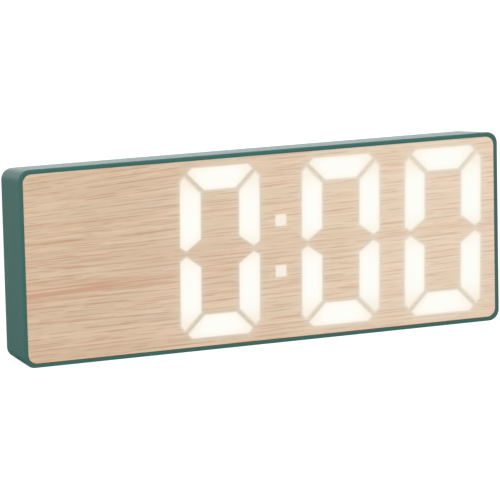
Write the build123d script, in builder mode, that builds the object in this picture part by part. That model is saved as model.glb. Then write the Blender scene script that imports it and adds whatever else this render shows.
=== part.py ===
from build123d import *
from math import radians, sqrt, tan
import os

os.makedirs("parts", exist_ok=True)

# Case: a shallow box that narrows towards its back, with a flat underside
case_width = 165.0
case_height = 62.4
side_draft = 1.1
top_draft = 1.9
corner_r = 3.6
wall = 1.3
front_edge_r = 0.3
rear_edge_r = 0.5

# Face stack, from the front: film, panel, tape and diffuser, reflector, board
panel_recess = 0.1
panel_gap = 0.08
panel_corner_r = 2.85
film_thickness = 0.4
panel_thickness = 1.2
tape_thickness = 0.2
ledge_width = 1.0
ledge_thickness = 1.2
reflector_thickness = 3.0
board_thickness = 1.2
stack_gap = 0.3

# Digits: a leading digit that is dark, then three lit noughts round a colon
face_left_margin = 16.7
face_right_margin = 6.4
face_border = 3.95
digit_gap = 9.05
colon_gap = 14.6
digit_rise = 0.2
digit_lean = 1.1
stroke = 7.1
bar_stroke = 7.3
mitre_gap = 1.4
tip_chamfer = 4.0
outer_shoulder = 2.2
inner_shoulder = 4.5
tip_inset = 2.1
tip_rise = 0.9
middle_tip_inset = 3.1
segment_trim = 0.35
segment_fit = 0.02
colon_side = 3.7
colon_spread = 16.4
cavity_taper = 12.0
reflector_margin = 2.15
reflector_edge = 0.9
peg_r = 1.0
peg_fit = 0.1
peg_drop = 12.0
chip_long = 1.6
chip_short = 0.8
chip_height = 0.6
chip_spread = 4.0
bar_chip_share = 0.4

# Rear cover, set in from the back edge so that the keys stay inside the box
cover_inset = 0.6
cover_thickness = 1.7
cover_gap = 0.15
seat_width = 0.8
seat_thickness = 1.5
boss_r = 2.4
boss_wall_gap = 2.5
boss_edge_low = 7.0
boss_edge_high = 8.0
rib_thickness = 2.0
pilot_depth = 7.0

# Cover screws
screw_r = 0.95
screw_fit = 0.05
screw_head_r = 1.9
screw_head_height = 0.8
screw_length = 6.5
screw_hole_r = 1.15
counterbore_r = 2.15
counterbore_depth = 0.9
recess_long = 2.2
recess_short = 0.5
recess_depth = 0.5

# Battery bay: three small cells lying one above the other
cell_r = 5.2
cell_length = 44.5
nub_r = 1.9
nub_length = 1.0
cell_edge_r = 0.4
cell_gap = 0.4
cell_play = 0.1
cell_cover_gap = 0.4
bay_x = -18.0
bay_gap = 0.4
bay_wall = 1.8
bay_floor_thickness = 0.7
door_ledge = 1.0
door_lift = 0.1
positive_space = 1.2
negative_space = 4.0
contact_thickness = 0.4
contact_height = 8.0
contact_depth = 7.0
contact_bump_r = 2.2
leaf_width = 4.5
leaf_half_span = 2.5
tab_width = 2.0
tab_fit = 0.1

# Battery door, hinged along its lower edge on two moulded pins
door_thickness = 1.3
door_gap = 0.2
door_edge = 0.3
barrel_r = 1.0
pin_r = 0.6
pin_fit = 0.05
pin_reach = 0.75
pin_end_gap = 0.1
scoop_r = 6.0
scoop_depth = 0.7
grip_count = 3
grip_length = 14.0
grip_width = 0.8
grip_pitch = 1.8
grip_depth = 0.35
grip_drop = 4.0

# Key board behind the rear cover, with three keys and the power inlet
key_board_gap = 1.2
key_board_width = 48.0
key_board_height = 38.0
key_board_corner_r = 1.0
key_board_stand = 5.1
post_r = 2.3
post_inset = 3.5
post_pilot_depth = 4.0
key_pitch = 12.0
key_rise = 12.0
switch_side = 6.0
switch_height = 3.5
plunger_r = 1.75
plunger_fit = 0.05
plunger_sink = 1.5
plunger_well = 2.2
button_r = 3.5
button_fit = 0.1
flange_r = 4.5
flange_thickness = 0.75
flange_gap = 0.1
button_proud = 0.5
dish_depth = 0.2
button_edge = 0.3
board_screw_length = 4.5

# Power inlet, upright on the key board
inlet_drop = 14.0
inlet_width = 8.94
inlet_height = 3.26
inlet_wall = 0.3
inlet_gap = 0.35
inlet_sink = 0.2
inlet_base = 1.2
tongue_width = 6.7
tongue_thickness = 0.7
tongue_short = 0.6
tongue_stem = 1.6

# Sounder on the cover, behind its ring of holes
sounder_r = 6.0
sounder_height = 4.8
sounder_port_r = 1.0
sounder_port_depth = 1.0
sounder_fit = 0.1
ring_wall = 1.0
ring_height = 3.0
sound_hole_r = 0.7
sound_ring_r = 3.2
sound_hole_count = 6

# Parts soldered on the back of the main board
driver_rise = 11.5
driver_width = 18.0
driver_depth = 7.5
driver_height = 2.3
driver_lift = 0.1
leg_pitch = 1.27
leg_count = 12
leg_width = 0.45
leg_reach = 1.3
leg_height = 0.9
crystal_drop = 6.0
crystal_r = 1.5
crystal_length = 8.0
capacitor_gap = 5.0
capacitor_rise = 9.5
capacitor_r = 3.15
capacitor_clear = 0.4
capacitor_base = 6.6
capacitor_base_height = 0.8
link_drop = 3.0
link_pins_count = 5
link_pitch = 2.54
link_depth = 2.5
link_base_height = 2.5
link_pin_side = 0.64
link_pin_fit = 0.04
link_pin_end = 0.8

# Case depth: the face stack, the battery bay and the door one behind the other
case_depth = (
    panel_recess
    + film_thickness
    + panel_thickness
    + tape_thickness
    + reflector_thickness
    + board_thickness
    + bay_gap
    + bay_floor_thickness
    + cell_play
    + 2 * cell_r
    + cell_cover_gap
    + door_thickness
    + cover_inset
)

# Depths of the faces, from the front edge to the back edge of the case
front_y = -case_depth / 2
rear_y = case_depth / 2
film_y = front_y + panel_recess
panel_y = film_y + film_thickness
tape_y = panel_y + panel_thickness
ledge_y = tape_y + tape_thickness
ledge_rear_y = ledge_y + ledge_thickness
board_y = ledge_y + reflector_thickness
board_rear_y = board_y + board_thickness
cover_rear_y = rear_y - cover_inset
cover_y = cover_rear_y - cover_thickness
seat_y = cover_y - seat_thickness
door_y = cover_rear_y - door_thickness
bay_rim_y = door_y - door_lift
cell_y = door_y - cell_cover_gap - cell_r
bay_floor_y = cell_y - cell_r - cell_play
bay_bottom_y = bay_floor_y - bay_floor_thickness
hinge_y = cover_rear_y - barrel_r
key_board_rear_y = cover_y - key_board_stand
key_board_y = key_board_rear_y - board_thickness
switch_top_y = key_board_rear_y + switch_height
flange_rear_y = cover_y - flange_gap
flange_y = flange_rear_y - flange_thickness
button_top_y = cover_rear_y + button_proud
inlet_rear_y = cover_rear_y - inlet_sink
sounder_y = cover_y - sounder_height
capacitor_height = key_board_y - screw_head_height - capacitor_clear - board_rear_y

# Digit sizes and places across the face
digit_width = (case_width - face_left_margin - face_right_margin - 2 * digit_gap - colon_gap) / 4
digit_height = case_height - 2 * face_border
digit_pitch = digit_width + digit_gap
digit_z = case_height / 2 + digit_rise
dark_x = face_left_margin + digit_width / 2 - case_width / 2
first_lit_x = dark_x + digit_pitch
second_lit_x = first_lit_x + digit_width + colon_gap
third_lit_x = second_lit_x + digit_pitch
colon_x = (first_lit_x + second_lit_x) / 2
lit_centres = [first_lit_x, second_lit_x, third_lit_x]
all_centres = [dark_x] + lit_centres
half_width = digit_width / 2
half_height = digit_height / 2
lean = tan(radians(digit_lean))
colon_spots = [
    (colon_x + side * lean * colon_spread / 2, digit_z + side * colon_spread / 2)
    for side in (-1, 1)
]
reflector_left = dark_x - half_width - reflector_margin
reflector_right = third_lit_x + half_width + reflector_margin
peg_spots = [
    (x, digit_z + side * (half_height - peg_drop))
    for x in (dark_x + digit_pitch / 2, second_lit_x + digit_pitch / 2)
    for side in (-1, 1)
]

# Bosses that carry the board at their front and the cover at their back
boss_x = case_width / 2 - side_draft - wall - boss_wall_gap
boss_low_z = boss_edge_low
boss_high_z = case_height - top_draft - boss_edge_high
boss_spots = [(x, z) for x in (-boss_x, boss_x) for z in (boss_low_z, boss_high_z)]

# Battery bay outlines
bay_z = (case_height - top_draft) / 2
bay_length = cell_length + positive_space + negative_space
bay_height = 3 * (2 * cell_r + cell_gap)
opening_length = bay_length + 2 * door_ledge
opening_height = bay_height + 2 * door_ledge
opening_low_z = bay_z - opening_height / 2
opening_high_z = bay_z + opening_height / 2
hinge_z = opening_low_z + door_gap + barrel_r
door_length = opening_length - 2 * door_gap
door_high_z = opening_high_z - door_gap
cell_pitch = 2 * cell_r + cell_gap
cell_top_z = bay_z + cell_pitch
cell_bottom_z = bay_z - cell_pitch
bay_left_x = bay_x - bay_length / 2
bay_right_x = bay_x + bay_length / 2
tab_spots = [
    (bay_right_x - contact_thickness / 2, cell_top_z),
    (bay_left_x + contact_thickness / 2, cell_bottom_z),
]

# Places left and right of the bay
left_space_x = (bay_left_x - bay_wall - boss_x + boss_r) / 2
sounder_x = left_space_x
sounder_z = bay_z
board_low_z = wall + ledge_width + stack_gap
board_high_z = case_height - top_draft - board_low_z
driver_x = left_space_x
driver_z = board_low_z + driver_rise
crystal_x = left_space_x
crystal_z = board_high_z - crystal_drop
capacitor_x = bay_right_x + bay_wall + capacitor_gap
capacitor_z = board_low_z + capacitor_rise

# Key board places
key_board_x = boss_x - boss_r - key_board_gap - key_board_width / 2
key_board_z = bay_z
link_x = key_board_x
link_z = key_board_z - link_drop
key_z = key_board_z + key_rise
set_x = key_board_x - key_pitch
up_x = key_board_x
down_x = key_board_x + key_pitch
key_spots = [(set_x, key_z), (up_x, key_z), (down_x, key_z)]
inlet_z = key_board_z - inlet_drop
post_spots = [
    (key_board_x + i * (key_board_width / 2 - post_inset), key_board_z + j * (key_board_height / 2 - post_inset))
    for i in (-1, 1)
    for j in (-1, 1)
]
link_spots = [(link_x + (i - (link_pins_count - 1) / 2) * link_pitch, link_z) for i in range(link_pins_count)]
link_length = link_pins_count * link_pitch


def facing_front(y):
    """Sketch plane at depth y, with X to the right and Z up as seen from the front."""
    return Plane(origin=(0, y, 0), x_dir=(1, 0, 0), z_dir=(0, -1, 0))


def turning(x, z):
    """Half-plane for profiles that turn about the depth line through x and z."""
    return Plane(origin=(x, 0, z), x_dir=(1, 0, 0), z_dir=(0, 0, 1))


def across(x):
    """Sketch plane across the case at x, with depth to the right and Z up."""
    return Plane(origin=(x, 0, 0), x_dir=(0, 1, 0), z_dir=(1, 0, 0))


def draft_share(y):
    return (y - front_y) / case_depth


def outline_width(y, inset):
    return case_width - 2 * side_draft * draft_share(y) - 2 * inset


def outline_height(y, inset):
    return case_height - top_draft * draft_share(y) - 2 * inset


def outline_centre(y):
    return (0, (case_height - top_draft * draft_share(y)) / 2)


def leaning(centre_x, points):
    """Points measured from a digit's middle, moved to its place on the face and leant to the right."""
    return [(centre_x + u + lean * v, digit_z + v) for u, v in points]


def bar_points(centre_x, side, grow):
    """Top or bottom bar of a digit: mitred ends with their outer tips cut off."""
    total = half_width + half_height - tip_chamfer + grow * sqrt(2)
    slant = half_width - half_height - (mitre_gap / 2 - grow) * sqrt(2)
    outer = half_height + grow
    inner = half_height - bar_stroke - grow
    right = [(total - outer, outer), ((total + slant) / 2, (total - slant) / 2), (slant + inner, inner)]
    left = [(-u, v) for u, v in reversed(right)]
    return leaning(centre_x, [(u, side * v) for u, v in right + left])


def upright_points(centre_x, hand, side, grow):
    """One of a digit's four uprights: mitred at the corner, pointed at mid height."""
    total = half_width + half_height - tip_chamfer + grow * sqrt(2)
    slant = half_width - half_height + (mitre_gap / 2 - grow) * sqrt(2)
    outer = half_width + grow
    inner = half_width - stroke - grow
    corners = [
        (outer, total - outer),
        ((total + slant) / 2, (total - slant) / 2),
        (inner, inner - slant),
        (inner, inner_shoulder - grow),
        (half_width - tip_inset, tip_rise - grow),
        (outer, outer_shoulder - grow),
    ]
    return leaning(centre_x, [(hand * u, side * v) for u, v in corners])


def middle_points(centre_x):
    """Middle bar of a digit, pointed at both ends."""
    tip = half_width - middle_tip_inset
    rise = bar_stroke / 2
    run = rise * (stroke - tip_inset) / (inner_shoulder - tip_rise)
    corners = [(tip, 0), (tip - run, rise), (run - tip, rise), (-tip, 0), (run - tip, -rise), (tip - run, -rise)]
    return leaning(centre_x, corners)


def nought(centre_x, grow):
    """The six lit segments of a nought."""
    for side in (-1, 1):
        Polygon(*bar_points(centre_x, side, grow), align=None)
        for hand in (-1, 1):
            Polygon(*upright_points(centre_x, hand, side, grow), align=None)


def chip_places(centre_x):
    """Two light chips behind each of a digit's seven segments."""
    bar = half_height - bar_stroke / 2
    post_u = half_width - stroke / 2
    post_v = half_height / 2
    bar_u = bar_chip_share * (half_width - bar_stroke / 2)
    flat = [(u, v) for v in (-bar, 0, bar) for u in (-bar_u, bar_u)]
    tall = [(u, v + w) for u in (-post_u, post_u) for v in (-post_v, post_v) for w in (-chip_spread, chip_spread)]
    return leaning(centre_x, flat + tall)


def button_profile():
    """Half profile of a key cap: a wide flange behind the cover and a dished head."""
    return [
        (0, flange_y),
        (flange_r, flange_y),
        (flange_r, flange_rear_y),
        (button_r, flange_rear_y),
        (button_r, button_top_y - button_edge),
        (button_r - button_edge, button_top_y),
        (0, button_top_y - dish_depth),
    ]


def plunger_profile():
    """Half profile of the switch plunger under a key cap."""
    return [
        (0, switch_top_y - plunger_sink),
        (plunger_r, switch_top_y - plunger_sink),
        (plunger_r, flange_y),
        (0, flange_y),
    ]


def cell_profile(end):
    """Half profile of a cell, measured from the bay's middle, with its nub towards one end."""
    tip = bay_length / 2 - positive_space
    shoulder = tip - nub_length
    base = tip - cell_length
    corners = [
        (tip, 0),
        (tip, nub_r),
        (shoulder, nub_r),
        (shoulder, cell_r - cell_edge_r),
        (shoulder - cell_edge_r, cell_r),
        (base + cell_edge_r, cell_r),
        (base, cell_r - cell_edge_r),
        (base, 0),
    ]
    return [(end * u, v) for u, v in corners]


# Housing: drafted shell with a rim round the face and an inner ledge
with BuildPart() as housing:
    with BuildSketch(Plane.XY):
        Polygon(
            (-outline_width(front_y, 0) / 2, front_y),
            (outline_width(front_y, 0) / 2, front_y),
            (outline_width(rear_y, 0) / 2, rear_y),
            (-outline_width(rear_y, 0) / 2, rear_y),
            align=None,
        )
    extrude(amount=case_height)
    with BuildSketch(Plane.YZ):
        Polygon(
            (front_y, 0),
            (rear_y, 0),
            (rear_y, outline_height(rear_y, 0)),
            (front_y, outline_height(front_y, 0)),
            align=None,
        )
    extrude(amount=case_width, both=True, mode=Mode.INTERSECT)
    fillet(housing.edges().filter_by_position(Axis.Y, front_y / 2, rear_y / 2), radius=corner_r)
    fillet(housing.faces().sort_by(Axis.Y)[0].edges(), radius=front_edge_r)
    fillet(housing.faces().sort_by(Axis.Y)[-1].edges(), radius=rear_edge_r)
    for start_y, end_y, inset in (
        (front_y, ledge_y, wall),
        (ledge_y, ledge_rear_y, wall + ledge_width),
        (ledge_rear_y, seat_y, wall),
        (seat_y, cover_y, wall + seat_width),
        (cover_y, rear_y, wall),
    ):
        with BuildSketch(facing_front(start_y)):
            with Locations(outline_centre(start_y)):
                RectangleRounded(outline_width(start_y, inset), outline_height(start_y, inset), panel_corner_r)
        with BuildSketch(facing_front(end_y)):
            with Locations(outline_centre(end_y)):
                RectangleRounded(outline_width(end_y, inset), outline_height(end_y, inset), panel_corner_r)
        loft(mode=Mode.SUBTRACT)
    # Bosses joined to the side walls by ribs
    with BuildSketch(facing_front(cover_y)):
        with Locations(*boss_spots):
            Circle(boss_r)
        for boss_z in (boss_low_z, boss_high_z):
            for side in (-1, 1):
                rib_end = case_width / 2 - side_draft - wall / 2
                with Locations((side * (boss_x + rib_end) / 2, boss_z)):
                    Rectangle(rib_end - boss_x, rib_thickness)
    extrude(amount=cover_y - board_rear_y)
    with BuildSketch(facing_front(cover_y)):
        with Locations(*boss_spots):
            Circle(screw_r + screw_fit)
    extrude(amount=pilot_depth, mode=Mode.SUBTRACT)
housing.part.label = "housing"
export_step(housing.part, "parts/housing.step")

# Tape ring that bonds the panel to the ledge
with BuildPart() as panel_tape:
    with BuildSketch(facing_front(ledge_y)):
        with Locations(outline_centre(ledge_y)):
            RectangleRounded(
                outline_width(ledge_y, wall + panel_gap), outline_height(ledge_y, wall + panel_gap), panel_corner_r
            )
            RectangleRounded(
                outline_width(ledge_y, wall + ledge_width),
                outline_height(ledge_y, wall + ledge_width),
                panel_corner_r,
                mode=Mode.SUBTRACT,
            )
    extrude(amount=tape_thickness)
panel_tape.part.label = "panel_tape"
export_step(panel_tape.part, "parts/panel_tape.step")

# Diffuser sheet between the panel and the reflector
with BuildPart() as diffuser_sheet:
    with BuildSketch(facing_front(ledge_y)):
        with Locations(outline_centre(ledge_y)):
            diffuser_inset = wall + ledge_width + stack_gap
            RectangleRounded(
                outline_width(ledge_y, diffuser_inset), outline_height(ledge_y, diffuser_inset), panel_corner_r
            )
    extrude(amount=tape_thickness)
diffuser_sheet.part.label = "diffuser_sheet"
export_step(diffuser_sheet.part, "parts/diffuser_sheet.step")

# Clear panel behind the film
with BuildPart() as front_panel:
    with BuildSketch(facing_front(tape_y)):
        with Locations(outline_centre(tape_y)):
            RectangleRounded(
                outline_width(tape_y, wall + panel_gap), outline_height(tape_y, wall + panel_gap), panel_corner_r
            )
    extrude(amount=panel_thickness)
front_panel.part.label = "front_panel"
export_step(front_panel.part, "parts/front_panel.step")

# Wood-grain film, open where the lit segments shine through
with BuildPart() as wood_film:
    with BuildSketch(facing_front(panel_y)):
        with Locations(outline_centre(panel_y)):
            RectangleRounded(
                outline_width(panel_y, wall + panel_gap), outline_height(panel_y, wall + panel_gap), panel_corner_r
            )
    extrude(amount=film_thickness)
    with BuildSketch(facing_front(panel_y)) as film_windows:
        for lit_x in lit_centres:
            nought(lit_x, segment_fit)
        with Locations(*colon_spots):
            Rectangle(colon_side + 2 * segment_fit, colon_side + 2 * segment_fit)
        chamfer(film_windows.vertices(), length=segment_trim)
    extrude(amount=film_thickness, mode=Mode.SUBTRACT)
wood_film.part.label = "wood_film"
export_step(wood_film.part, "parts/wood_film.step")

# Lit segments of the three noughts and the colon, flush with the film
with BuildPart() as lit_segments:
    with BuildSketch(facing_front(panel_y)) as lit_faces:
        for lit_x in lit_centres:
            nought(lit_x, 0)
        with Locations(*colon_spots):
            Rectangle(colon_side, colon_side)
        chamfer(lit_faces.vertices(), length=segment_trim)
    extrude(amount=film_thickness)
lit_segments.part.label = "lit_segments"
export_step(lit_segments.part, "parts/lit_segments.step")

# Reflector: one tapered light well for every segment of the four digits and the colon
with BuildPart() as display_reflector:
    with BuildSketch(facing_front(board_y)):
        with Locations(((reflector_left + reflector_right) / 2, digit_z)):
            Rectangle(reflector_right - reflector_left, digit_height + 2 * reflector_edge)
    extrude(amount=reflector_thickness)
    with BuildSketch(facing_front(ledge_y)):
        for well_x in all_centres:
            nought(well_x, 0)
            Polygon(*middle_points(well_x), align=None)
        with Locations(*colon_spots):
            Rectangle(colon_side, colon_side)
    extrude(amount=-reflector_thickness, taper=cavity_taper, mode=Mode.SUBTRACT)
    with BuildSketch(facing_front(board_rear_y)):
        with Locations(*peg_spots):
            Circle(peg_r)
    extrude(amount=board_thickness)
display_reflector.part.label = "display_reflector"
export_step(display_reflector.part, "parts/display_reflector.step")

# Main board, held between the reflector and the bosses
with BuildPart() as main_board:
    with BuildSketch(facing_front(board_rear_y)):
        with Locations(outline_centre(board_rear_y)):
            board_inset = wall + ledge_width + stack_gap
            Rectangle(outline_width(board_rear_y, board_inset), outline_height(board_rear_y, board_inset))
        with Locations(*peg_spots):
            Circle(peg_r + peg_fit, mode=Mode.SUBTRACT)
        with Locations(*link_spots):
            Rectangle(link_pin_side + 2 * link_pin_fit, link_pin_side + 2 * link_pin_fit, mode=Mode.SUBTRACT)
    extrude(amount=board_thickness)
main_board.part.label = "main_board"
export_step(main_board.part, "parts/main_board.step")

# Light chips at the bottom of the wells
with BuildPart() as led_chips:
    with BuildSketch(facing_front(board_y)):
        for chip_x in all_centres:
            with Locations(*chip_places(chip_x)):
                Rectangle(chip_long, chip_short)
        with Locations(*colon_spots):
            Rectangle(chip_long, chip_short)
    extrude(amount=chip_height)
led_chips.part.label = "led_chips"
export_step(led_chips.part, "parts/led_chips.step")

# Display driver: a flat package with a row of legs on two sides
with BuildPart() as driver_chip:
    with BuildSketch(facing_front(board_rear_y + driver_lift)):
        with Locations((driver_x, driver_z)):
            Rectangle(driver_depth, driver_width)
    extrude(amount=-driver_height)
    with BuildSketch(facing_front(board_rear_y)):
        with Locations((driver_x, driver_z)):
            with GridLocations(driver_depth + leg_reach, leg_pitch, 2, leg_count):
                Rectangle(2 * leg_reach, leg_width)
    extrude(amount=-leg_height)
driver_chip.part.label = "driver_chip"
export_step(driver_chip.part, "parts/driver_chip.step")

# Timing crystal: a small round can lying on the board
with BuildPart() as clock_crystal:
    with BuildSketch(across(crystal_x)):
        with Locations((board_rear_y + crystal_r, crystal_z)):
            Circle(crystal_r)
    extrude(amount=crystal_length / 2, both=True)
clock_crystal.part.label = "clock_crystal"
export_step(clock_crystal.part, "parts/clock_crystal.step")

# Smoothing capacitor: a round can on a square foot
with BuildPart() as smoothing_capacitor:
    with BuildSketch(facing_front(board_rear_y)):
        with Locations((capacitor_x, capacitor_z)):
            Rectangle(capacitor_base, capacitor_base)
    extrude(amount=-capacitor_base_height)
    with BuildSketch(facing_front(board_rear_y)):
        with Locations((capacitor_x, capacitor_z)):
            Circle(capacitor_r)
    extrude(amount=-capacitor_height)
smoothing_capacitor.part.label = "smoothing_capacitor"
export_step(smoothing_capacitor.part, "parts/smoothing_capacitor.step")

# Plug between the two boards: base strip, pins and socket strip
with BuildPart() as link_header:
    with BuildSketch(facing_front(board_rear_y)):
        with Locations((link_x, link_z)):
            Rectangle(link_length, link_depth)
        with Locations(*link_spots):
            Rectangle(link_pin_side + 2 * link_pin_fit, link_pin_side + 2 * link_pin_fit, mode=Mode.SUBTRACT)
    extrude(amount=-link_base_height)
link_header.part.label = "link_header"
export_step(link_header.part, "parts/link_header.step")

with BuildPart() as link_socket:
    with BuildSketch(facing_front(key_board_y)):
        with Locations((link_x, link_z)):
            Rectangle(link_length, link_depth)
        with Locations(*link_spots):
            Rectangle(link_pin_side + 2 * link_pin_fit, link_pin_side + 2 * link_pin_fit, mode=Mode.SUBTRACT)
    extrude(amount=key_board_y - board_rear_y - link_base_height)
link_socket.part.label = "link_socket"
export_step(link_socket.part, "parts/link_socket.step")

with BuildPart() as link_pins:
    with BuildSketch(facing_front(key_board_y - link_pin_end)):
        with Locations(*link_spots):
            Rectangle(link_pin_side, link_pin_side)
    extrude(amount=key_board_y - link_pin_end - board_y)
link_pins.part.label = "link_pins"
export_step(link_pins.part, "parts/link_pins.step")

# Rear cover with the battery bay, key posts, sounder ring and openings
with BuildPart() as rear_cover:
    with BuildSketch(facing_front(cover_rear_y)):
        with Locations(outline_centre(cover_rear_y)):
            RectangleRounded(
                outline_width(cover_rear_y, wall + cover_gap),
                outline_height(cover_rear_y, wall + cover_gap),
                panel_corner_r,
            )
    extrude(amount=cover_thickness)
    with BuildSketch(facing_front(bay_rim_y)):
        with Locations((bay_x, bay_z)):
            Rectangle(bay_length + 2 * bay_wall, bay_height + 2 * bay_wall)
    extrude(amount=bay_rim_y - bay_bottom_y)
    with BuildSketch(facing_front(cover_y)):
        with Locations(*post_spots):
            Circle(post_r)
    extrude(amount=key_board_stand)
    with BuildSketch(facing_front(cover_y)):
        with Locations((sounder_x, sounder_z)):
            Circle(sounder_r + sounder_fit + ring_wall)
            Circle(sounder_r + sounder_fit, mode=Mode.SUBTRACT)
    extrude(amount=ring_height)
    # Bay with slots for the solder tabs, door opening and hinge seat
    with BuildSketch(facing_front(bay_rim_y)):
        with Locations((bay_x, bay_z)):
            Rectangle(bay_length, bay_height)
    extrude(amount=bay_rim_y - bay_floor_y, mode=Mode.SUBTRACT)
    with BuildSketch(facing_front(bay_floor_y)):
        with Locations(*tab_spots):
            Rectangle(contact_thickness + 2 * tab_fit, tab_width + 2 * tab_fit)
    extrude(amount=bay_floor_thickness, mode=Mode.SUBTRACT)
    with BuildSketch(facing_front(cover_rear_y)):
        with Locations((bay_x, bay_z)):
            Rectangle(opening_length, opening_height)
    extrude(amount=cover_rear_y - bay_rim_y, mode=Mode.SUBTRACT)
    with BuildSketch(facing_front(cover_rear_y)):
        with Locations((bay_x, opening_high_z)):
            Circle(scoop_r)
    extrude(amount=scoop_depth, mode=Mode.SUBTRACT)
    with BuildSketch(across(bay_x)):
        with Locations((hinge_y, hinge_z)):
            Circle(barrel_r + door_gap)
    extrude(amount=opening_length / 2, both=True, mode=Mode.SUBTRACT)
    with BuildSketch(across(bay_x)):
        with Locations((hinge_y, hinge_z)):
            Circle(pin_r + pin_fit)
    extrude(amount=door_length / 2 + pin_reach + pin_end_gap, both=True, mode=Mode.SUBTRACT)
    # Holes for keys, power inlet, sound and screws
    with BuildSketch(facing_front(cover_rear_y)):
        with Locations(*key_spots):
            Circle(button_r + button_fit)
        with Locations((key_board_x, inlet_z)):
            SlotOverall(inlet_width + 2 * inlet_gap, inlet_height + 2 * inlet_gap)
        with Locations((sounder_x, sounder_z)):
            Circle(sound_hole_r)
            with PolarLocations(sound_ring_r, sound_hole_count):
                Circle(sound_hole_r)
        with Locations(*boss_spots):
            Circle(screw_hole_r)
    extrude(amount=cover_thickness, mode=Mode.SUBTRACT)
    with BuildSketch(facing_front(cover_rear_y)):
        with Locations(*boss_spots):
            Circle(counterbore_r)
    extrude(amount=counterbore_depth, mode=Mode.SUBTRACT)
    with BuildSketch(facing_front(key_board_rear_y)):
        with Locations(*post_spots):
            Circle(screw_r + screw_fit)
    extrude(amount=-post_pilot_depth, mode=Mode.SUBTRACT)
rear_cover.part.label = "rear_cover"
export_step(rear_cover.part, "parts/rear_cover.step")

# Screws that hold the cover to the bosses
with BuildPart() as cover_screws:
    screw_seat_y = cover_rear_y - counterbore_depth
    screw_head_y = screw_seat_y + screw_head_height
    for screw_x, screw_z in boss_spots:
        with BuildSketch(turning(screw_x, screw_z)):
            Polygon(
                (0, screw_seat_y - screw_length),
                (screw_r, screw_seat_y - screw_length + screw_r),
                (screw_r, screw_seat_y),
                (screw_head_r, screw_seat_y),
                (screw_head_r, screw_head_y),
                (0, screw_head_y),
                align=None,
            )
        revolve(axis=Axis((screw_x, 0, screw_z), (0, 1, 0)))
    with BuildSketch(facing_front(screw_head_y)):
        with Locations(*boss_spots):
            Rectangle(recess_long, recess_short)
            Rectangle(recess_short, recess_long)
    extrude(amount=recess_depth, mode=Mode.SUBTRACT)
cover_screws.part.label = "cover_screws"
export_step(cover_screws.part, "parts/cover_screws.step")

# Battery door with its hinge barrel, pins and grip lines
with BuildPart() as battery_door:
    with BuildSketch(facing_front(cover_rear_y)):
        with Locations((bay_x, (hinge_z + door_high_z) / 2)):
            Rectangle(door_length, door_high_z - hinge_z)
    extrude(amount=door_thickness)
    outer_edges = battery_door.faces().sort_by(Axis.Y)[-1].edges()
    chamfer(outer_edges.filter_by_position(Axis.Z, hinge_z, door_high_z, (False, True)), length=door_edge)
    with BuildSketch(across(bay_x)):
        with Locations((hinge_y, hinge_z)):
            Circle(barrel_r)
    extrude(amount=door_length / 2, both=True)
    with BuildSketch(across(bay_x)):
        with Locations((hinge_y, hinge_z)):
            Circle(pin_r)
    extrude(amount=door_length / 2 + pin_reach, both=True)
    with BuildSketch(facing_front(cover_rear_y)):
        with Locations((bay_x, door_high_z - grip_drop)):
            with GridLocations(grip_pitch, grip_pitch, 1, grip_count):
                SlotOverall(grip_length, grip_width)
    extrude(amount=grip_depth, mode=Mode.SUBTRACT)
battery_door.part.label = "battery_door"
export_step(battery_door.part, "parts/battery_door.step")

# Cells, with their nubs turned by turns to the right and left
with BuildPart() as cell_top:
    with BuildSketch(Plane(origin=(bay_x, cell_y, cell_top_z), x_dir=(1, 0, 0), z_dir=(0, 0, 1))):
        Polygon(*cell_profile(1), align=None)
    revolve(axis=Axis((bay_x, cell_y, cell_top_z), (1, 0, 0)))
cell_top.part.label = "cell_top"
export_step(cell_top.part, "parts/cell_top.step")

with BuildPart() as cell_middle:
    with BuildSketch(Plane(origin=(bay_x, cell_y, bay_z), x_dir=(1, 0, 0), z_dir=(0, 0, 1))):
        Polygon(*cell_profile(-1), align=None)
    revolve(axis=Axis((bay_x, cell_y, bay_z), (1, 0, 0)))
cell_middle.part.label = "cell_middle"
export_step(cell_middle.part, "parts/cell_middle.step")

with BuildPart() as cell_bottom:
    with BuildSketch(Plane(origin=(bay_x, cell_y, cell_bottom_z), x_dir=(1, 0, 0), z_dir=(0, 0, 1))):
        Polygon(*cell_profile(1), align=None)
    revolve(axis=Axis((bay_x, cell_y, cell_bottom_z), (1, 0, 0)))
cell_bottom.part.label = "cell_bottom"
export_step(cell_bottom.part, "parts/cell_bottom.step")

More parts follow.
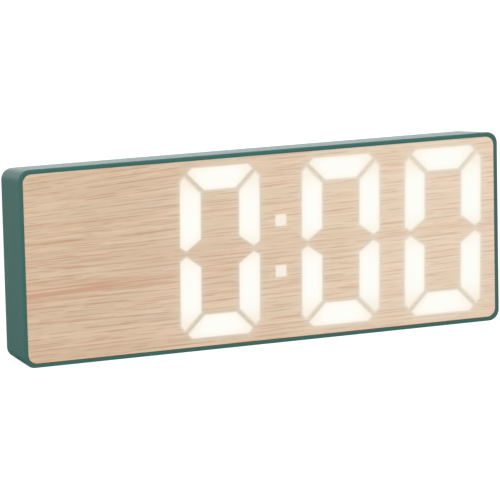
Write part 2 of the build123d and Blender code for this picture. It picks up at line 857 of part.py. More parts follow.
# Contacts: two single plates and two bridges that join neighbouring cells in series
with BuildPart() as cell_contacts:
    bridge_height = contact_height + cell_pitch
    for plate_x, plate_z, plate_height in (
        (bay_right_x - contact_thickness, cell_top_z, contact_height),
        (bay_right_x - contact_thickness, (bay_z + cell_bottom_z) / 2, bridge_height),
        (bay_left_x, (bay_z + cell_top_z) / 2, bridge_height),
        (bay_left_x, cell_bottom_z, contact_height),
    ):
        with BuildSketch(across(plate_x)):
            with Locations((cell_y, plate_z)):
                Rectangle(contact_depth, plate_height)
        extrude(amount=contact_thickness)
    # Solder tabs that reach the main board through slots in the bay's floor
    with BuildSketch(facing_front(cell_y)):
        with Locations(*tab_spots):
            Rectangle(contact_thickness, tab_width)
    extrude(amount=cell_y - board_rear_y)
    # Raised pads for the nubs
    bump_height = positive_space - contact_thickness
    for bump_x, bump_z, way in (
        (bay_right_x - contact_thickness, cell_top_z, -1),
        (bay_left_x + contact_thickness, bay_z, 1),
        (bay_right_x - contact_thickness, cell_bottom_z, -1),
    ):
        with BuildSketch(across(bump_x)):
            with Locations((cell_y, bump_z)):
                Circle(contact_bump_r)
        extrude(amount=way * bump_height)
    # Bowed leaves for the flat ends
    for leaf_x, leaf_z, way in (
        (bay_left_x, cell_top_z, 1),
        (bay_right_x, bay_z, -1),
        (bay_left_x, cell_bottom_z, 1),
    ):
        with BuildSketch(Plane(origin=(leaf_x, cell_y, leaf_z), x_dir=(1, 0, 0), z_dir=(0, 0, 1))):
            with BuildLine():
                ThreePointArc(
                    (way * contact_thickness / 2, -leaf_half_span),
                    (way * (negative_space - contact_thickness / 2), 0),
                    (way * contact_thickness / 2, leaf_half_span),
                )
            trace(line_width=contact_thickness)
        extrude(amount=leaf_width / 2, both=True)
cell_contacts.part.label = "cell_contacts"
export_step(cell_contacts.part, "parts/cell_contacts.step")

# Key board on the cover's posts
with BuildPart() as key_board:
    with BuildSketch(facing_front(key_board_rear_y)):
        with Locations((key_board_x, key_board_z)):
            RectangleRounded(key_board_width, key_board_height, key_board_corner_r)
        with Locations(*post_spots):
            Circle(screw_hole_r, mode=Mode.SUBTRACT)
    extrude(amount=board_thickness)
key_board.part.label = "key_board"
export_step(key_board.part, "parts/key_board.step")

# Screws that hold the key board to its posts
with BuildPart() as key_board_screws:
    for screw_x, screw_z in post_spots:
        with BuildSketch(turning(screw_x, screw_z)):
            Polygon(
                (0, key_board_y + board_screw_length),
                (screw_r, key_board_y + board_screw_length - screw_r),
                (screw_r, key_board_y),
                (screw_head_r, key_board_y),
                (screw_head_r, key_board_y - screw_head_height),
                (0, key_board_y - screw_head_height),
                align=None,
            )
        revolve(axis=Axis((screw_x, 0, screw_z), (0, 1, 0)))
    with BuildSketch(facing_front(key_board_y - screw_head_height)):
        with Locations(*post_spots):
            Rectangle(recess_long, recess_short)
            Rectangle(recess_short, recess_long)
    extrude(amount=-recess_depth, mode=Mode.SUBTRACT)
key_board_screws.part.label = "key_board_screws"
export_step(key_board_screws.part, "parts/key_board_screws.step")

# Switch bodies with a well for each plunger
with BuildPart() as switch_bodies:
    with BuildSketch(facing_front(key_board_rear_y)):
        with Locations(*key_spots):
            Rectangle(switch_side, switch_side)
    extrude(amount=-switch_height)
    with BuildSketch(facing_front(switch_top_y)):
        with Locations(*key_spots):
            Circle(plunger_r + plunger_fit)
    extrude(amount=plunger_well, mode=Mode.SUBTRACT)
switch_bodies.part.label = "switch_bodies"
export_step(switch_bodies.part, "parts/switch_bodies.step")

# Plungers and key caps
with BuildPart() as set_plunger:
    with BuildSketch(turning(set_x, key_z)):
        Polygon(*plunger_profile(), align=None)
    revolve(axis=Axis((set_x, 0, key_z), (0, 1, 0)))
set_plunger.part.label = "set_plunger"
export_step(set_plunger.part, "parts/set_plunger.step")

with BuildPart() as up_plunger:
    with BuildSketch(turning(up_x, key_z)):
        Polygon(*plunger_profile(), align=None)
    revolve(axis=Axis((up_x, 0, key_z), (0, 1, 0)))
up_plunger.part.label = "up_plunger"
export_step(up_plunger.part, "parts/up_plunger.step")

with BuildPart() as down_plunger:
    with BuildSketch(turning(down_x, key_z)):
        Polygon(*plunger_profile(), align=None)
    revolve(axis=Axis((down_x, 0, key_z), (0, 1, 0)))
down_plunger.part.label = "down_plunger"
export_step(down_plunger.part, "parts/down_plunger.step")

with BuildPart() as set_button:
    with BuildSketch(turning(set_x, key_z)):
        Polygon(*button_profile(), align=None)
    revolve(axis=Axis((set_x, 0, key_z), (0, 1, 0)))
set_button.part.label = "set_button"
export_step(set_button.part, "parts/set_button.step")

with BuildPart() as up_button:
    with BuildSketch(turning(up_x, key_z)):
        Polygon(*button_profile(), align=None)
    revolve(axis=Axis((up_x, 0, key_z), (0, 1, 0)))
up_button.part.label = "up_button"
export_step(up_button.part, "parts/up_button.step")

with BuildPart() as down_button:
    with BuildSketch(turning(down_x, key_z)):
        Polygon(*button_profile(), align=None)
    revolve(axis=Axis((down_x, 0, key_z), (0, 1, 0)))
down_button.part.label = "down_button"
export_step(down_button.part, "parts/down_button.step")

# Power inlet: a metal sleeve round a tongue
with BuildPart() as usb_shell:
    with BuildSketch(facing_front(inlet_rear_y)):
        with Locations((key_board_x, inlet_z)):
            SlotOverall(inlet_width, inlet_height)
    extrude(amount=inlet_rear_y - key_board_rear_y)
    with BuildSketch(facing_front(inlet_rear_y)):
        with Locations((key_board_x, inlet_z)):
            SlotOverall(inlet_width - 2 * inlet_wall, inlet_height - 2 * inlet_wall)
    extrude(amount=inlet_rear_y - key_board_rear_y - inlet_base, mode=Mode.SUBTRACT)
usb_shell.part.label = "usb_shell"
export_step(usb_shell.part, "parts/usb_shell.step")

with BuildPart() as usb_tongue:
    with BuildSketch(facing_front(key_board_rear_y + inlet_base)):
        with Locations((key_board_x, inlet_z)):
            Rectangle(tongue_width, tongue_thickness)
    extrude(amount=-(inlet_rear_y - tongue_short - key_board_rear_y - inlet_base))
    with BuildSketch(facing_front(key_board_rear_y + inlet_base)):
        with Locations((key_board_x, inlet_z)):
            Rectangle(tongue_width, 2 * tongue_thickness)
    extrude(amount=-tongue_stem)
usb_tongue.part.label = "usb_tongue"
export_step(usb_tongue.part, "parts/usb_tongue.step")

# Sounder in its ring on the cover
with BuildPart() as sounder:
    with BuildSketch(facing_front(cover_y)):
        with Locations((sounder_x, sounder_z)):
            Circle(sounder_r)
    extrude(amount=cover_y - sounder_y)
    with BuildSketch(facing_front(cover_y)):
        with Locations((sounder_x, sounder_z)):
            Circle(sounder_port_r)
    extrude(amount=sounder_port_depth, mode=Mode.SUBTRACT)
sounder.part.label = "sounder"
export_step(sounder.part, "parts/sounder.step")
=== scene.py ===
import math

import bpy
from mathutils import Matrix, Vector

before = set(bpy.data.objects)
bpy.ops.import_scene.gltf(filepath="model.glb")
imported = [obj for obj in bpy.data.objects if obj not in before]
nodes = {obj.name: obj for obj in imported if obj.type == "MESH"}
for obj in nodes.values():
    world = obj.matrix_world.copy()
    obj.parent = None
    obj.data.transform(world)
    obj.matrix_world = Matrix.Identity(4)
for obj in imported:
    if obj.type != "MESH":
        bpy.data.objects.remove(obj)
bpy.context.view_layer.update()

MM_PER_METRE = 1000.0


class Finish:
    """A material's node tree, with short calls for the nodes used here."""

    def __init__(self, name):
        self.material = bpy.data.materials.new(name)
        self.material.use_nodes = True
        self.tree = self.material.node_tree
        self.shader = self.tree.nodes["Principled BSDF"]

    def node(self, kind, **settings):
        node = self.tree.nodes.new(kind)
        for key, value in settings.items():
            setattr(node, key, value)
        return node

    def put(self, socket, value):
        if isinstance(value, bpy.types.NodeSocket):
            self.tree.links.new(value, socket)
        else:
            socket.default_value = value

    def math(self, operation, a, b=0.0, clamp=False):
        node = self.node("ShaderNodeMath", operation=operation, use_clamp=clamp)
        self.put(node.inputs[0], a)
        self.put(node.inputs[1], b)
        return node.outputs[0]

    def plus(self, a, b, clamp=False):
        return self.math("ADD", a, b, clamp)

    def minus(self, a, b):
        return self.math("SUBTRACT", a, b)

    def times(self, a, b):
        return self.math("MULTIPLY", a, b)

    def least(self, first, *others):
        for other in others:
            first = self.math("MINIMUM", first, other)
        return first

    def most(self, first, *others):
        for other in others:
            first = self.math("MAXIMUM", first, other)
        return first

    def away(self, a, b):
        """How far a is from b."""
        return self.math("ABSOLUTE", self.minus(a, b))

    def decay(self, distance, reach):
        """One up to a distance of nought, then falling off over the reach."""
        return self.math("EXPONENT", self.times(self.most(distance, 0.0), -1 / reach))

    def ramp(self, value, low, high, first=0.0, last=1.0):
        """Smooth step from first to last as value goes from low to high."""
        node = self.node("ShaderNodeMapRange", interpolation_type="SMOOTHSTEP")
        for socket, v in zip(node.inputs[:5], (value, low, high, first, last)):
            self.put(socket, v)
        return node.outputs[0]

    def mix(self, factor, a, b):
        """Colour that goes from a to b as the factor goes from nought to one."""
        node = self.node("ShaderNodeMix", data_type="RGBA")
        self.put(node.inputs[0], factor)
        for socket, colour in ((node.inputs[6], a), (node.inputs[7], b)):
            self.put(socket, colour if isinstance(colour, bpy.types.NodeSocket) else (*colour, 1.0))
        return node.outputs[2]

    def place(self):
        """X, Y and Z of the surface in the CAD's frame, in millimetres."""
        coords = self.node("ShaderNodeTexCoord").outputs["Object"]
        scaled = self.node("ShaderNodeVectorMath", operation="SCALE")
        self.put(scaled.inputs[0], coords)
        scaled.inputs["Scale"].default_value = MM_PER_METRE
        parts = self.node("ShaderNodeSeparateXYZ")
        self.put(parts.inputs[0], scaled.outputs[0])
        return parts.outputs[0], parts.outputs[1], parts.outputs[2]

    def point(self, x, y, z):
        node = self.node("ShaderNodeCombineXYZ")
        for socket, v in zip(node.inputs, (x, y, z)):
            self.put(socket, v)
        return node.outputs[0]

    def noise(self, point, scale=1.0, detail=1.0, rough=0.5):
        node = self.node("ShaderNodeTexNoise", noise_dimensions="3D")
        self.put(node.inputs["Vector"], point)
        node.inputs["Scale"].default_value = scale
        node.inputs["Detail"].default_value = detail
        node.inputs["Roughness"].default_value = rough
        return node.outputs["Fac"]

    def bump(self, height, distance, strength):
        node = self.node("ShaderNodeBump")
        node.inputs["Strength"].default_value = strength
        node.inputs["Distance"].default_value = distance
        self.put(node.inputs["Height"], height)
        self.put(self.shader.inputs["Normal"], node.outputs[0])

    def set(self, **values):
        """Put values on the shader's sockets, with _ for a space in a socket's name."""
        for key, value in values.items():
            socket = self.shader.inputs[key.replace("_", " ")]
            if isinstance(value, tuple) and len(value) == 3:
                value = (*value, 1.0)
            self.put(socket, value)


def linear(r, g, b):
    """Linear colour of an 8-bit screen colour."""
    return tuple((v / 255 / 12.92) if v <= 10.3 else ((v / 255 + 0.055) / 1.055) ** 2.4 for v in (r, g, b))


def shade(colour, share):
    """The colour made darker or lighter, up to full brightness."""
    return tuple(min(1.0, c * share) for c in colour)


# Digits and colon on the face, in millimetres, as the lit segments are cut
DIGIT_MIDDLES = (-15.8, 26.1, 62.45)
DIGIT_Z = 31.4
HALF_WIDTH = 13.65
HALF_HEIGHT = 27.25
DIGIT_LEAN = math.tan(math.radians(1.1))
UPRIGHT_WIDTH = 7.1
BAR_WIDTH = 7.3
MITRE_GAP = 1.4
CORNER_CUT = 4.0
TIP_INSET = 2.1
TIP_RISE = 0.9
INNER_SHOULDER = 4.5
OUTER_SHOULDER = 2.2
COLON_X = 5.15
COLON_RISE = 8.2
COLON_HALF = 1.85

# How the light spreads, in millimetres, and how strong it is on the film and the segments
HALO_REACH = 0.6
WIDE_REACH = 6.0
UPRIGHT_MIDDLE = 11.8
END_REACH = 10.5
END_POWER = 3.6
CORE_DEPTH = 2.0
LIP_DEPTH = 0.35
MITRE_INSIDE = 27.0
MITRE_OUTSIDE = 38.0
HALO_COVER = 0.8
CLOSE_GLOW = 0.06
WIDE_GLOW = 0.04
# Strength of the painted sheen, a glow that brightens the film towards the right
PAINTED_SHEEN_GLOW = 0.10
SEGMENT_GLOW = 0.98

# Run of the grain on the film, in millimetres: a slight rise to the right, steeper at the upper
# left, with a slow sway, and the height and half width of a redder belt
GRAIN_RISE = 0.013
CLIMB_RISE = 0.05
CLIMB_X = -25.0
CLIMB_LOW_Z = 34.0
CLIMB_HIGH_Z = 58.0
SWAY_LENGTH = 50.0
SWAY_THICKNESS = 12.5
SWAY_HEIGHT = 1.2
BELT_LANE = 24.6
BELT_HALF = 2.5

# Printed lines: drift in spacings, solid share of the width, and noise step from row to row
LINE_DRIFT = 1.6
LINE_CORE = 0.3
ROW_STEP = 3.7

# Noise lies between these values for the most part
NOISE_LOW = 0.3
NOISE_HIGH = 0.7

# Sheen of plastic and film, and the depth of a faint scratch and of moulded grain in metres
PLASTIC_SHEEN = 0.24
SCRATCH = 0.00001
MOULD_GRAIN = 0.00002

# Noise scale of the marks on metal, along and across their run
MARK_ALONG = 0.15
MARK_ACROSS = 2.5

# Colours of the wood print, from its ground to its lines and pores
GROUND_PALE = linear(236, 210, 179)
GROUND_WARM = linear(234, 204, 173)
PALE_STREAK = linear(250, 220, 190)
BROWN_LINE = linear(200, 163, 130)
RED_LINE = linear(223, 169, 141)
TAN_LINE = linear(206, 167, 135)
DARK_PORE = linear(205, 158, 130)
RED_BELT = linear(224, 174, 144)

# Colours of the light, on the film and on the segments
HALO = linear(225, 221, 205)
FILM_GLOW = (0.92, 0.97, 0.95)
SEGMENT_CORE = linear(253, 253, 247)
SEGMENT_EDGE = linear(253, 246, 234)
SEGMENT_END = linear(250, 240, 225)
SEGMENT_LIP = linear(241, 227, 209)
COLON_LIGHT = linear(247, 238, 225)
UNLIT = (0.02, 0.02, 0.02)


def lit_shapes(finish, x, z):
    """Distances in millimetres, negative inside, to the nearest lit bar, upright and colon dot,
    and the place of a point across and up from the middle of its digit."""
    x = finish.minus(x, finish.times(finish.minus(z, DIGIT_Z), DIGIT_LEAN))
    across = finish.least(*[finish.away(x, middle) for middle in DIGIT_MIDDLES])
    up = finish.away(z, DIGIT_Z)

    def edge(a, b, c):
        """Signed distance to the line a * across + b * up = c."""
        size = math.hypot(a, b)
        total = finish.plus(finish.times(across, a / size), finish.times(up, b / size))
        return finish.minus(total, c / size)

    half_gap = MITRE_GAP / 2 * math.sqrt(2)
    corner = edge(1, 1, HALF_WIDTH + HALF_HEIGHT - CORNER_CUT)
    bar_mitre = edge(1, -1, HALF_WIDTH - HALF_HEIGHT - half_gap)
    bar = finish.most(edge(0, 1, HALF_HEIGHT), edge(0, -1, BAR_WIDTH - HALF_HEIGHT), bar_mitre, corner)
    # An upright ends in a tip towards the digit's middle
    tip = HALF_WIDTH - TIP_INSET
    inner_rise = INNER_SHOULDER - TIP_RISE
    outer_rise = OUTER_SHOULDER - TIP_RISE
    inner_run = UPRIGHT_WIDTH - TIP_INSET
    upright = finish.most(
        edge(1, 0, HALF_WIDTH),
        edge(-1, 0, UPRIGHT_WIDTH - HALF_WIDTH),
        edge(-1, 1, HALF_HEIGHT - HALF_WIDTH - half_gap),
        corner,
        edge(-inner_rise, -inner_run, -inner_rise * tip - inner_run * TIP_RISE),
        edge(outer_rise, -TIP_INSET, outer_rise * tip - TIP_INSET * TIP_RISE),
    )
    dots = finish.most(finish.minus(finish.away(x, COLON_X), COLON_HALF),
                       finish.minus(finish.away(up, COLON_RISE), COLON_HALF))
    return bar, upright, dots, across, up


def moulded(name, colour, roughness, grain=MOULD_GRAIN):
    """Moulded plastic: a fine matte grain with faint cloudiness."""
    plastic = Finish(name)
    spot = plastic.point(*plastic.place())
    cloud = plastic.noise(spot, scale=0.06, detail=3.0)
    fine = plastic.noise(spot, scale=3.2, detail=2.0, rough=0.6)
    spread = 0.05
    plastic.set(
        Base_Color=plastic.mix(cloud, shade(colour, 0.94), shade(colour, 1.06)),
        Roughness=plastic.ramp(fine, NOISE_LOW, NOISE_HIGH, roughness - spread, roughness + spread),
        Specular_IOR_Level=PLASTIC_SHEEN,
    )
    plastic.bump(fine, distance=grain, strength=0.5)
    return plastic


def metal(name, colour, roughness, along):
    """Plated or drawn metal with faint marks along one axis."""
    plate = Finish(name)
    scales = [MARK_ALONG if axis == along else MARK_ACROSS for axis in range(3)]
    drawn = [plate.times(v, scale) for v, scale in zip(plate.place(), scales)]
    marks = plate.noise(plate.point(*drawn), detail=3.0, rough=0.6)
    spread = 0.07
    plate.set(
        Base_Color=plate.mix(marks, shade(colour, 0.86), colour),
        Metallic=1.0,
        Roughness=plate.ramp(marks, NOISE_LOW, NOISE_HIGH, roughness - spread, roughness + spread),
    )
    plate.bump(marks, distance=SCRATCH, strength=0.4)
    return plate


def wood_film():
    """Printed pale wood with fine streaks, light that bleeds round the lit segments, and a painted sheen
    that grows towards the right.
    """
    film = Finish("wood_film")
    x, _, z = film.place()
    # The lane is a height that stays the same along a line of the grain
    left = film.least(film.minus(x, CLIMB_X), 0.0)
    climb = film.times(left, film.ramp(z, CLIMB_LOW_Z, CLIMB_HIGH_Z, 0.0, CLIMB_RISE))
    lane = film.minus(film.minus(z, film.times(x, GRAIN_RISE)), climb)
    sway = film.noise(film.point(film.times(x, 1 / SWAY_LENGTH), 0.0, film.times(z, 1 / SWAY_THICKNESS)))
    lane = film.plus(lane, film.times(sway, SWAY_HEIGHT))

    def streak(long, thin, seed):
        """Noise drawn out along the grain, with its length and thickness in millimetres."""
        return film.noise(film.point(film.times(x, 1 / long), seed, film.times(lane, 1 / thin)))

    def dashes(spacing, half, long, seed, low, high):
        """Thin lines at uneven spacing, each broken into dashes of its own."""
        drift = film.times(streak(long=130.0, thin=5.0, seed=seed), LINE_DRIFT)
        phase = film.plus(film.times(lane, 1 / spacing), drift)
        row = film.math("FLOOR", phase)
        off = film.away(film.minus(phase, row), 0.5)
        line = film.ramp(off, LINE_CORE * half / spacing, half / spacing, 1.0, 0.0)
        run = film.noise(film.point(film.times(x, 1 / long), film.times(row, ROW_STEP), seed))
        return film.times(line, film.ramp(run, low, high))

    def lay(tone, colour, cover, strength):
        """Print a colour over the tone, by its cover and strength."""
        return film.mix(film.times(cover, strength), tone, colour)

    # Calm ground with wide, faint bands and pale streaks
    bands = film.ramp(streak(long=80.0, thin=4.5, seed=8.3), 0.36, 0.64)
    tone = film.mix(bands, GROUND_PALE, GROUND_WARM)
    pale = film.ramp(streak(long=45.0, thin=1.0, seed=11.7), 0.46, 0.66)
    tone = lay(tone, PALE_STREAK, pale, strength=0.55)
    # Brown, red and finer tan dashes
    brown = dashes(spacing=1.9, half=0.27, long=13.0, seed=28.1, low=0.45, high=0.60)
    tone = lay(tone, BROWN_LINE, brown, strength=0.52)
    red = dashes(spacing=3.3, half=0.34, long=22.0, seed=36.2, low=0.48, high=0.62)
    tone = lay(tone, RED_LINE, red, strength=0.65)
    tan = dashes(spacing=1.2, half=0.22, long=8.0, seed=33.6, low=0.46, high=0.60)
    tone = lay(tone, TAN_LINE, tan, strength=0.48)
    # Short dark pores, stronger towards the left
    pores = film.ramp(streak(long=8.0, thin=0.42, seed=41.9), 0.58, 0.68)
    tone = lay(tone, DARK_PORE, pores, strength=film.ramp(x, -75.0, -30.0, 0.32, 0.18))
    # Redder belt across the left half
    off = film.minus(lane, BELT_LANE)
    belt = film.math("EXPONENT", film.times(film.times(off, off), -1 / BELT_HALF ** 2))
    belt = film.times(belt, film.ramp(x, -40.0, 10.0, 0.85, 0.1))
    blush = film.ramp(streak(long=36.0, thin=0.6, seed=57.7), 0.42, 0.60)
    tone = lay(tone, RED_BELT, blush, strength=belt)
    # Halo of light in the film round each segment. The gaps between bars and uprights are
    # brightest at the digit's inside
    bar, upright, dots, across, up = lit_shapes(film, x, z)
    bar_halo = film.decay(bar, HALO_REACH)
    upright_halo = film.decay(upright, HALO_REACH)
    halo = film.times(film.plus(bar_halo, upright_halo), HALO_COVER)
    inside = film.ramp(film.plus(across, up), MITRE_INSIDE, MITRE_OUTSIDE, 1.9, -1.3)
    shared = film.times(film.times(bar_halo, upright_halo), inside)
    tone = film.mix(film.plus(halo, shared, clamp=True), tone, HALO)
    # Glow close to the segments and further off, and a painted sheen, a glow that grows steadily towards
    # the right
    gap = film.least(bar, upright, dots)
    close = film.ramp(gap, 0.0, 0.5, CLOSE_GLOW, 0.0)
    wide = film.times(film.decay(gap, WIDE_REACH), WIDE_GLOW)
    painted_sheen = film.ramp(x, -60.0, 70.0, 0.0, PAINTED_SHEEN_GLOW)
    film.set(
        Base_Color=tone,
        Roughness=film.ramp(brown, 0.0, 1.0, 0.52, 0.64),
        Specular_IOR_Level=PLASTIC_SHEEN,
        Emission_Color=FILM_GLOW,
        Emission_Strength=film.plus(film.plus(close, wide), painted_sheen),
    )
    film.bump(brown, distance=SCRATCH, strength=0.3)
    return film


def segment_light():
    """Warm white light, creamier towards each segment's edge and still more at its two ends."""
    light = Finish("segment_light")
    x, y, z = light.place()
    bar, upright, dots, across, up = lit_shapes(light, x, z)
    cloud = light.noise(light.point(x, y, z), scale=0.12, detail=2.0)
    core = light.ramp(light.least(bar, upright, dots), -CORE_DEPTH, 0.1, 1.0, 0.0)
    core = light.times(core, light.ramp(cloud, 0.2, 0.6, 0.86, 1.0))
    colour = light.mix(core, SEGMENT_EDGE, SEGMENT_CORE)
    # Way from the middle of a bar or an upright towards its ends
    on_bar = light.math("LESS_THAN", bar, upright)
    reach = light.away(up, UPRIGHT_MIDDLE)
    reach = light.plus(reach, light.times(on_bar, light.minus(across, reach)))
    ends = light.math("POWER", light.times(reach, 1 / END_REACH), END_POWER, clamp=True)
    colour = light.mix(ends, colour, SEGMENT_END)
    # Soft lip along the edges, twice as wide at an upright's outer end
    lip = light.least(bar, light.plus(upright, light.ramp(up, 16.0, 24.0, 0.0, LIP_DEPTH)))
    colour = light.mix(light.ramp(lip, -LIP_DEPTH, 0.1), colour, SEGMENT_LIP)
    # The colon is a little dimmer
    colour = light.mix(light.ramp(dots, -0.5, 0.5, 1.0, 0.0), colour, COLON_LIGHT)
    light.set(
        Base_Color=UNLIT,
        Roughness=light.ramp(cloud, NOISE_LOW, NOISE_HIGH, 0.5, 0.6),
        Specular_IOR_Level=0.1,
        Emission_Color=colour,
        Emission_Strength=SEGMENT_GLOW,
    )
    return light


def circuit_board():
    """Green solder mask with paler copper runs under it."""
    mask = Finish("circuit_board")
    x, _, z = mask.place()
    runs = mask.node("ShaderNodeTexBrick")
    mask.put(runs.inputs["Vector"], mask.point(x, z, 0.0))
    runs.inputs["Scale"].default_value = 0.35
    runs.inputs["Mortar Size"].default_value = 0.06
    runs.inputs["Color1"].default_value = (0.018, 0.115, 0.045, 1.0)
    runs.inputs["Color2"].default_value = (0.022, 0.135, 0.052, 1.0)
    runs.inputs["Mortar"].default_value = (0.05, 0.23, 0.09, 1.0)
    mask.set(Base_Color=runs.outputs["Color"], Roughness=0.35)
    mask.bump(runs.outputs["Fac"], distance=0.00003, strength=0.5)
    return mask


# Cells: middle of the bay, and the sleeve's band and bare ends from there towards the nub
BAY_X = -18.0
BAND_START = 13.0
NUB_END = 22.15
FLAT_END = -20.45
SLEEVE_GREY = linear(52, 55, 60)
SLEEVE_BAND = linear(150, 154, 158)
SLEEVE_RUB = linear(84, 86, 90)
BARE_METAL = linear(196, 196, 192)


def cell_sleeve(flip):
    """Plain sleeve: dark grey with a pale grey band at the nub end, bare metal at both ends."""
    sleeve = Finish("cell_sleeve_" + ("left" if flip else "right"))
    x, y, z = sleeve.place()
    along = sleeve.times(sleeve.minus(x, BAY_X), -1.0 if flip else 1.0)
    band = sleeve.ramp(along, BAND_START - 0.1, BAND_START + 0.1)
    ends = sleeve.plus(sleeve.ramp(along, NUB_END - 0.05, NUB_END + 0.05),
                       sleeve.ramp(along, FLAT_END + 0.05, FLAT_END - 0.05), clamp=True)
    drawn = sleeve.point(sleeve.times(x, 0.2), sleeve.times(y, 2.0), sleeve.times(z, 2.0))
    marks = sleeve.noise(drawn, detail=2.0)
    print_tone = sleeve.mix(band, SLEEVE_GREY, SLEEVE_BAND)
    print_tone = sleeve.mix(sleeve.times(marks, 0.25), print_tone, SLEEVE_RUB)
    sleeve.set(
        Base_Color=sleeve.mix(ends, print_tone, BARE_METAL),
        Metallic=ends,
        Roughness=sleeve.ramp(marks, NOISE_LOW, NOISE_HIGH, 0.28, 0.40),
    )
    sleeve.bump(marks, distance=SCRATCH, strength=0.3)
    return sleeve


# Axes that the marks on a metal run along
Y_AXIS = 1
Z_AXIS = 2

# Each finish with the pieces that wear it
DRESSING = (
    (moulded("case_plastic", linear(66, 111, 104), roughness=0.42),
     ("housing", "rear_cover", "battery_door")),
    (moulded("key_plastic", linear(58, 86, 81), roughness=0.45),
     ("set_button", "up_button", "down_button")),
    (moulded("black_package", linear(30, 30, 32), roughness=0.5),
     ("driver_chip", "link_header", "link_socket", "switch_bodies", "usb_tongue", "sounder")),
    (moulded("plunger_plastic", linear(44, 44, 47), roughness=0.4),
     ("set_plunger", "up_plunger", "down_plunger")),
    (moulded("white_reflector", linear(236, 236, 232), roughness=0.5), ("display_reflector",)),
    (moulded("white_diffuser", linear(238, 238, 234), roughness=0.35), ("diffuser_sheet",)),
    (moulded("black_tape", linear(22, 22, 22), roughness=0.75), ("panel_tape",)),
    (moulded("clear_panel", linear(226, 228, 227), roughness=0.12, grain=0.000005), ("front_panel",)),
    (moulded("light_chip", linear(242, 232, 190), roughness=0.3), ("led_chips",)),
    (metal("steel", linear(196, 196, 194), roughness=0.3, along=Y_AXIS),
     ("clock_crystal", "cover_screws", "key_board_screws", "usb_shell")),
    (metal("contact_steel", linear(206, 204, 198), roughness=0.26, along=Z_AXIS), ("cell_contacts",)),
    (metal("can_aluminium", linear(214, 214, 216), roughness=0.32, along=Y_AXIS), ("smoothing_capacitor",)),
    (metal("brass_pins", linear(214, 184, 112), roughness=0.28, along=Y_AXIS), ("link_pins",)),
    (circuit_board(), ("main_board", "key_board")),
    (wood_film(), ("wood_film",)),
    (segment_light(), ("lit_segments",)),
    (cell_sleeve(flip=False), ("cell_top", "cell_bottom")),
    (cell_sleeve(flip=True), ("cell_middle",)),
)
SMOOTH_ANGLE = math.radians(32)

for finish, pieces in DRESSING:
    for piece in pieces:
        materials = nodes[piece].data.materials
        materials.clear()
        materials.append(finish.material)

for node in nodes.values():
    bpy.ops.object.select_all(action="DESELECT")
    node.select_set(True)
    bpy.context.view_layer.objects.active = node
    bpy.ops.object.shade_smooth_by_angle(angle=SMOOTH_ANGLE)

# Stage: a white floor that runs out of view, a white sky and soft lights. The case's sides mirror
# the floor at a flat angle and stay dark in the photograph, so the floor is only faintly white in
# reflections, and the sky is fully white there
FLOOR_SIZE = 12.0
FLOOR_DROP = 0.00002
FLOOR_GREY = (0.18, 0.18, 0.18, 1.0)
FLOOR_GLOW = 0.84
FLOOR_SHADOWED = (0.34, 0.34, 0.34, 1.0)
FLOOR_MIRRORED = 0.05
SKY_WHITE = (1.0, 1.0, 1.0, 1.0)
SKY_LIGHT = 0.22
SKY_SEEN = 1.0
SKY_MIRRORED = 1.0


def seen_white(tree, unseen, seen, mirrored):
    """Shader that is seen by the camera and through clear things, and by the share mirrored in
    reflections, while the rest of the light comes from unseen."""
    path = tree.nodes.new("ShaderNodeLightPath")
    share = tree.nodes.new("ShaderNodeMath")
    share.operation = "MULTIPLY"
    tree.links.new(path.outputs["Is Glossy Ray"], share.inputs[0])
    share.inputs[1].default_value = mirrored
    factor = share.outputs[0]
    for kind in ("Is Camera Ray", "Is Transmission Ray"):
        either = tree.nodes.new("ShaderNodeMath")
        either.operation = "MAXIMUM"
        tree.links.new(factor, either.inputs[0])
        tree.links.new(path.outputs[kind], either.inputs[1])
        factor = either.outputs[0]
    choose = tree.nodes.new("ShaderNodeMixShader")
    tree.links.new(factor, choose.inputs[0])
    tree.links.new(unseen, choose.inputs[1])
    tree.links.new(seen, choose.inputs[2])
    return choose.outputs[0]


bpy.ops.object.select_all(action="DESELECT")
bpy.ops.mesh.primitive_plane_add(size=FLOOR_SIZE, location=(0.0, 0.0, -FLOOR_DROP))
floor = bpy.context.object
floor.name = "floor"
ground = bpy.data.materials.new("floor_white")
ground.use_nodes = True
tree = ground.node_tree
surface = tree.nodes["Principled BSDF"]
surface.inputs["Base Color"].default_value = FLOOR_GREY
surface.inputs["Roughness"].default_value = 0.9
# White to the eye, with a faint shadow from the part that is lit
glow = tree.nodes.new("ShaderNodeEmission")
glow.inputs["Strength"].default_value = FLOOR_GLOW
lit = tree.nodes.new("ShaderNodeBsdfDiffuse")
lit.inputs["Color"].default_value = FLOOR_SHADOWED
shown = tree.nodes.new("ShaderNodeAddShader")
tree.links.new(glow.outputs[0], shown.inputs[0])
tree.links.new(lit.outputs[0], shown.inputs[1])
floor_shader = seen_white(tree, surface.outputs[0], shown.outputs[0], FLOOR_MIRRORED)
tree.links.new(floor_shader, tree.nodes["Material Output"].inputs["Surface"])
floor.data.materials.append(ground)

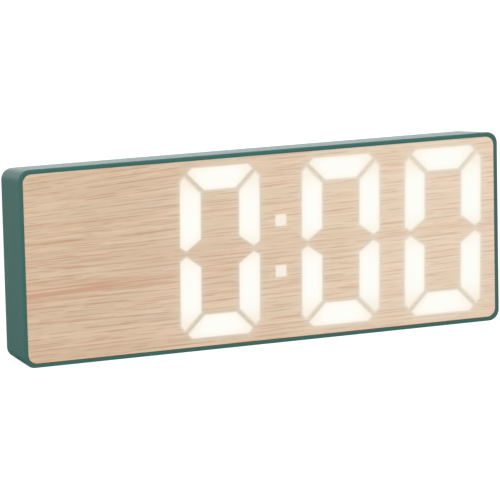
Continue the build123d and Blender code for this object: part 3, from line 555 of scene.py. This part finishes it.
world = bpy.data.worlds.new("studio")
bpy.context.scene.world = world
world.use_nodes = True
sky = world.node_tree
ambient = sky.nodes["Background"]
ambient.inputs["Color"].default_value = SKY_WHITE
ambient.inputs["Strength"].default_value = SKY_LIGHT
bright = sky.nodes.new("ShaderNodeBackground")
bright.inputs["Color"].default_value = SKY_WHITE
bright.inputs["Strength"].default_value = SKY_SEEN
sky_shader = seen_white(sky, ambient.outputs[0], bright.outputs[0], SKY_MIRRORED)
sky.links.new(sky_shader, sky.nodes["World Output"].inputs["Surface"])


def soft_light(name, place, target, size, power, mirrored=True):
    """Round lamp that the camera doesn't see, turned towards the target, sizes in metres."""
    data = bpy.data.lights.new(name, "AREA")
    data.shape = "DISK"
    data.size = size
    data.energy = power
    lamp = bpy.data.objects.new(name, data)
    bpy.context.scene.collection.objects.link(lamp)
    lamp.visible_camera = False
    lamp.visible_glossy = mirrored
    lamp.location = place
    lamp.rotation_euler = (Vector(target) - Vector(place)).to_track_quat("-Z", "Y").to_euler()


CASE_MIDDLE = (0.0, 0.0, 0.03)
CASE_TOP = (0.0, 0.0, 0.05)
soft_light("key_light", (0.7, -1.1, 0.7), CASE_MIDDLE, size=0.8, power=9.8)
soft_light("fill_light", (-1.2, -0.6, 0.6), CASE_MIDDLE, size=0.8, power=14.0)
soft_light("back_light", (0.6, 1.5, 0.5), CASE_TOP, size=1.2, power=2.4)
# Lights the back. Its mirror image would wash out the top of the case, so it has none
soft_light("rear_fill", (0.8, 1.3, 0.6), CASE_TOP, size=1.2, power=20.0, mirrored=False)

# Camera at the photograph's place
CAMERA_PLACE = (-0.43844, -1.04598, 0.22328)
CAMERA_RIGHT = Vector((0.92097, -0.38897, -0.02271))
CAMERA_DOWN = Vector((-0.08634, -0.14689, -0.98538))
CAMERA_AHEAD = Vector((0.37995, 0.90946, -0.16887))
turn = Matrix((CAMERA_RIGHT, -CAMERA_DOWN, -CAMERA_AHEAD)).transposed()
optics = bpy.data.cameras.new("camera")
optics.lens = 258.1
optics.sensor_width = 36.0
optics.clip_start = 0.01
camera = bpy.data.objects.new("camera", optics)
bpy.context.scene.collection.objects.link(camera)
camera.matrix_world = Matrix.Translation(CAMERA_PLACE) @ turn.to_4x4()
bpy.context.scene.camera = camera
bpy.context.scene.view_settings.view_transform = "Standard"
